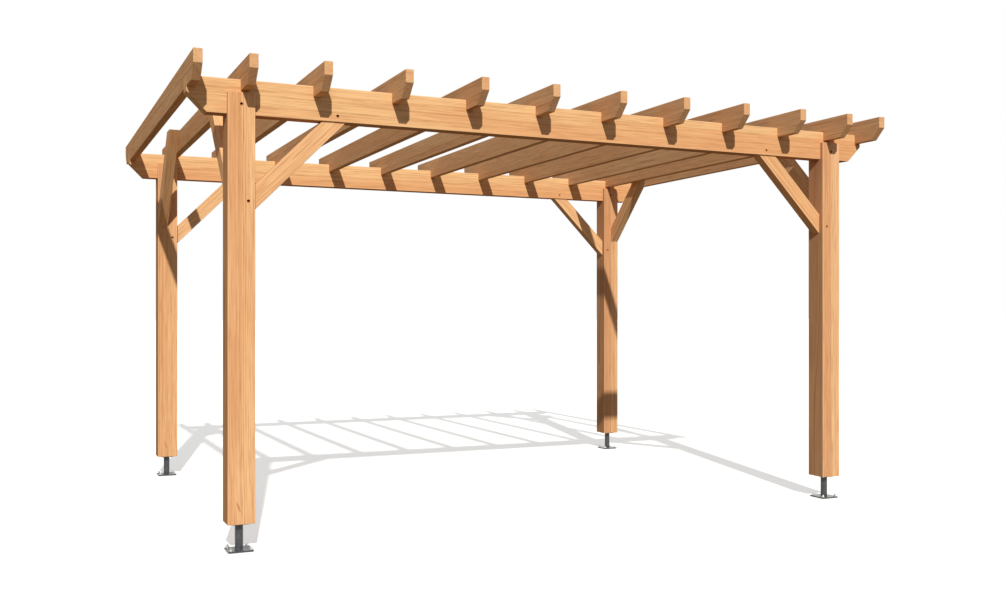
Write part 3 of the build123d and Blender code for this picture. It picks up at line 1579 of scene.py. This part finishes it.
    def side_screw_holes(self, x: float, thickness: float) -> list[Hole]:
        """Lay out the screws through a rafter into its two braces, on its inner side.

        Args:
            x: the rafter's middle.
            thickness: its thickness.

        Returns:
            The screw holes.
        """
        inward = -math.copysign(1.0, x)
        column = Column.LEFT if x < 0 else Column.RIGHT
        holes = []
        for row in Row:
            low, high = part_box(f"brace_{row.value}_{column.value}_rafter")
            deeper, tip = (1.0, high.y) if row is Row.FRONT else (-1.0, low.y)
            middle_y = tip - deeper * self.brace_width / math.sqrt(2)
            for down in self.side_screws:
                shift = down * math.sqrt(0.5)
                place = Vector((x + inward * thickness / 2, middle_y - deeper * shift, high.z - shift))
                holes.append(Hole(place, RIGHT * inward))
        return holes

    def brace(self, row: Row, column: Column, carried: Carried, seed: int) -> Brace:
        """Lay out one brace.

        Args:
            row: the brace's row.
            column: its end of the row.
            carried: what it holds up.
            seed: a number that no other timber has.

        Returns:
            The brace.
        """
        node = f"brace_{row.value}_{column.value}_{carried.value}"
        low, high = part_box(node)
        middle = (low + high) / 2
        slanted_width = self.brace_width / math.sqrt(2)
        outward = RIGHT * math.copysign(1.0, middle.x)
        if carried is Carried.RAFTER:
            outward = BACK * math.copysign(1.0, middle.y)
        along, over = UP - outward, UP + outward
        line = (high.z - low.z - slanted_width) * math.sqrt(2)
        origin = middle + over * slanted_width / 2
        size = Vector((line + self.brace_width + Brace.spare, self.brace_thickness, self.brace_width))
        lay = Lay(origin, along, over.cross(along))
        return Brace(node, "brace_timber", lay, size, self.brace_finish, seed)

    def timbers(self) -> list[Timber]:
        """Lay out the whole frame.

        Returns:
            Every timber, in order.
        """
        seeds = count(self.first_seed)
        made: list[Timber] = []
        for row in Row:
            made.append(self.beam(row, next(seeds)))
            for column in Column:
                made.append(self.post(row, column, next(seeds)))
                made += [self.brace(row, column, carried, next(seeds)) for carried in Carried]
        return made + [self.rafter(number, next(seeds)) for number in range(1, self.rafter_count + 1)]

    def build(self) -> None:
        """Build every timber, and keep the places of its pins and screws."""
        inside = BoreFinish().material()
        for timber in self.timbers():
            timber.build(inside)
            self.pins += timber.pins
            self.screws += timber.screws


@dataclass
class Fixings:
    """The heads of the pins and screws, sunk in their holes.

    Args:
        pin: head of a pin.
        screw: head of a screw.
        steel: their finish.
    """

    pin: SocketHead = SocketHead(radius=0.0062, height=0.005, socket=0.0030, socket_depth=0.003)
    screw: SocketHead = SocketHead(
        radius=0.0044, height=0.0026, socket=0.0019, socket_depth=0.0016, taper=0.65,
    )
    steel: MetalFinish = MetalFinish(
        "browned_steel", colour=(0.450, 0.100, 0.024, 1.0), worn=(0.280, 0.060, 0.015, 1.0),
        metallic=0.0, roughness=0.75, grain=900.0, texture=0.0001, specular=0.02,
    )

    def build(self, timber: Frame) -> None:
        """Set the heads in place.

        Args:
            timber: the frame, with its timbers built.
        """
        steel = self.steel.material()
        set_in_place("pin_heads", self.pin.mesh(), PIN_BORE.head_places(timber.pins), steel, turn_seed=1)
        set_in_place(
            "screw_heads", self.screw.mesh(), SCREW_BORE.head_places(timber.screws), steel, turn_seed=2
        )


@dataclass
class Feet:
    """The steel feet with their anchors, weld beads and screws.

    Args:
        base_thickness: thickness of the base plate.
        head_thickness: thickness of the head plate.
        bolt_spacing: distance between the anchors.
        screw_spacing: distance between the screws in the head plate.
        screw: head of such a screw.
        paint: finish of plates, stem and weld beads.
        zinc: finish of anchors and screws.
    """

    base_thickness: float = 0.008
    head_thickness: float = 0.006
    bolt_spacing: float = 0.100
    screw_spacing: float = 0.062
    screw: SocketHead = SocketHead(radius=0.0055, height=0.0035, socket=0.0025, socket_depth=0.0022)
    paint: MetalFinish = MetalFinish(
        "foot_paint", colour=(0.040, 0.044, 0.047, 1.0), worn=(0.062, 0.066, 0.068, 1.0),
        metallic=0.0, roughness=0.36, grain=620.0, texture=0.0003,
    )
    zinc: MetalFinish = MetalFinish(
        "zinc_plate", colour=(0.62, 0.62, 0.60, 1.0), worn=(0.42, 0.42, 0.40, 1.0),
        metallic=1.0, roughness=0.36, grain=900.0, texture=0.0001,
    )

    def build(self) -> None:
        """Dress the feet and set their small pieces in place."""
        paint, zinc = self.paint.material(), self.zinc.material()
        anchors, beads, screws = [], [], []
        for node in (f"foot_{row.value}_{column.value}" for row in Row for column in Column):
            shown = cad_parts[node]
            shown.data.materials.clear()
            shown.data.materials.append(paint)
            low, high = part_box(node)
            base, under = (low + high) / 2, (low + high) / 2
            base.z, under.z = low.z + self.base_thickness, high.z - self.head_thickness
            beads += [Hole(base, UP), Hole(under, -UP)]
            for corner in (Vector((x, y, 0)) for x in (-0.5, 0.5) for y in (-0.5, 0.5)):
                anchors.append(Hole(base + corner * self.bolt_spacing, UP))
                seat = under + corner * self.screw_spacing - UP * self.screw.height
                screws.append(Hole(seat, -UP))
            log.info("%s: painted", node)
        set_in_place("foot_anchors", AnchorEnd().mesh(), anchors, zinc, turn_seed=4)
        set_in_place("foot_weld_beads", WeldBead().mesh(), beads, paint, turn_seed=5)
        set_in_place("foot_screws", self.screw.mesh(), screws, zinc, turn_seed=6)


@dataclass(frozen=True)
class Lamp:
    """A distant lamp.

    Args:
        name: its name.
        direction: the way that its light travels.
        strength: its strength.
        angle: how wide it is, as seen from the pergola.
    """

    name: str
    direction: Triple
    strength: float
    angle: float

    def build(self) -> None:
        """Put the lamp into the scene."""
        data = bpy.data.lights.new(self.name, "SUN")
        data.energy, data.angle = self.strength, self.angle
        turn = Vector(self.direction).to_track_quat("-Z", "Y").to_euler()
        new_object(self.name, data).rotation_euler = turn


@dataclass
class Studio:
    """Floor, light and camera.

    Args:
        lamps: the main light and a soft fill from behind.
        sky_light: colour of the sky as a light.
        sky_strength: its strength.
        floor_size: side of the floor.
        floor_bounce: colour of the light that the floor throws back.
        floor_paint: colour of the floor as it shows.
        floor_glow: what is added to it, so that its lit part shows white.
        camera_place: the camera's place.
        camera_yaw: how far it is turned from +Y towards +X.
        camera_shift: how far its level view is moved up, so that uprights stay upright.
        sensor: width of its sensor in millimetres.
        lens: its focal length in millimetres.
        far_clip: how far it sees.
    """

    lamps: tuple[Lamp, ...] = (
        Lamp("main_light", (0.248, 1.0, -0.695), 3.75, math.radians(0.9)),
        Lamp("back_fill", (-0.7, -1.0, -0.9), 0.7, math.radians(50)),
    )
    sky_light: Colour = (1.0, 1.09, 1.28, 1.0)
    sky_strength: float = 0.36
    floor_size: float = 400.0
    floor_bounce: Colour = (0.18, 0.135, 0.09, 1.0)
    floor_paint: Colour = (0.80, 0.75, 0.66, 1.0)
    floor_glow: float = 0.34
    camera_place: Triple = (-2.9915, -7.0107, 1.2214)
    camera_yaw: float = 0.4306
    camera_shift: float = 0.0119
    sensor: float = 36.0
    lens: float = 38.178
    far_clip: float = 500.0

    def seen(self, wiring: Wiring) -> Signal:
        """Tell apart the rays that show a surface and the rays that light others.

        Args:
            wiring: the wiring of a material or world.

        Returns:
            1 for rays from the camera or a mirror or through glass, and 0 for light's own rays.
        """
        path = wiring.signals(wiring.add("ShaderNodeLightPath"))
        straight = wiring.math("MAXIMUM", path["Is Camera Ray"], path["Is Glossy Ray"])
        return wiring.math("MAXIMUM", straight, path["Is Transmission Ray"])

    def two_faced(self, owner: NodeOwner, output: str, lighting: Shader, shown: list[Shader]) -> None:
        """Give a material or world one shader for light's own rays, and others that show.

        Args:
            owner: the material or world.
            output: Blender's name for the kind of its output.
            lighting: the shader for light's own rays, by its kind and inputs.
            shown: the shaders that show, added up.
        """
        wiring, end = bare_surface(owner, output)
        light = wiring.read(*lighting)
        face, *others = [wiring.read(*shader) for shader in shown]
        for other in others:
            face = wiring.read("ShaderNodeAddShader", {0: face, 1: other})
        mixed = wiring.read("ShaderNodeMixShader", {0: self.seen(wiring), 1: light, 2: face})
        wiring.fill(end, {"Surface": mixed})

    def sky(self) -> None:
        """Make the world: plain white to look at, and softer as a light."""
        world = bpy.data.worlds.new("studio_sky")
        light = ("ShaderNodeBackground", {"Color": self.sky_light, "Strength": self.sky_strength})
        backdrop = ("ShaderNodeBackground", {"Color": (1.0, 1.0, 1.0, 1.0), "Strength": 1.0})
        self.two_faced(world, "ShaderNodeOutputWorld", light, [backdrop])
        bpy.context.scene.world = world

    def floor(self) -> None:
        """Lay the pale floor. It throws less light back than it shows, as a dark floor would."""
        half = self.floor_size / 2
        corners = [(-half, -half, 0), (half, -half, 0), (half, half, 0), (-half, half, 0)]
        mesh = bpy.data.meshes.new("floor")
        mesh.from_pydata(corners, [], [(0, 1, 2, 3)])
        material = bpy.data.materials.new("floor_paint")
        bounce = ("ShaderNodeBsdfDiffuse", {"Color": self.floor_bounce})
        paint = ("ShaderNodeBsdfDiffuse", {"Color": self.floor_paint})
        glow = ("ShaderNodeEmission", {"Color": (1.0, 1.0, 1.0, 1.0), "Strength": self.floor_glow})
        self.two_faced(material, "ShaderNodeOutputMaterial", bounce, [paint, glow])
        mesh.materials.append(material)
        new_object("floor", mesh)

    def camera(self) -> None:
        """Set up the camera at the photograph's place."""
        data = bpy.data.cameras.new("camera")
        data.sensor_width, data.lens = self.sensor, self.lens
        data.shift_y, data.clip_end = self.camera_shift, self.far_clip
        shown = new_object("camera", data)
        shown.location = self.camera_place
        shown.rotation_euler = (math.radians(90), 0.0, -self.camera_yaw)
        bpy.context.scene.camera = shown

    def build(self) -> None:
        """Set up the studio."""
        self.camera()
        self.sky()
        self.floor()
        for lamp in self.lamps:
            lamp.build()
        bpy.context.scene.view_settings.view_transform = "Standard"
        log.info("studio: camera, sky, floor and lamps")


def main() -> None:
    """Build the studio, the timber, its fixings and the feet."""
    logging.basicConfig(level=logging.INFO, format="%(name)s: %(message)s")
    Studio().build()
    Figure().tree()
    planed_bar_tree()
    bored_tree()
    placed_tree()
    timber = Frame()
    timber.build()
    Fixings().build(timber)
    Feet().build()


if __name__ == "__main__":
    main()
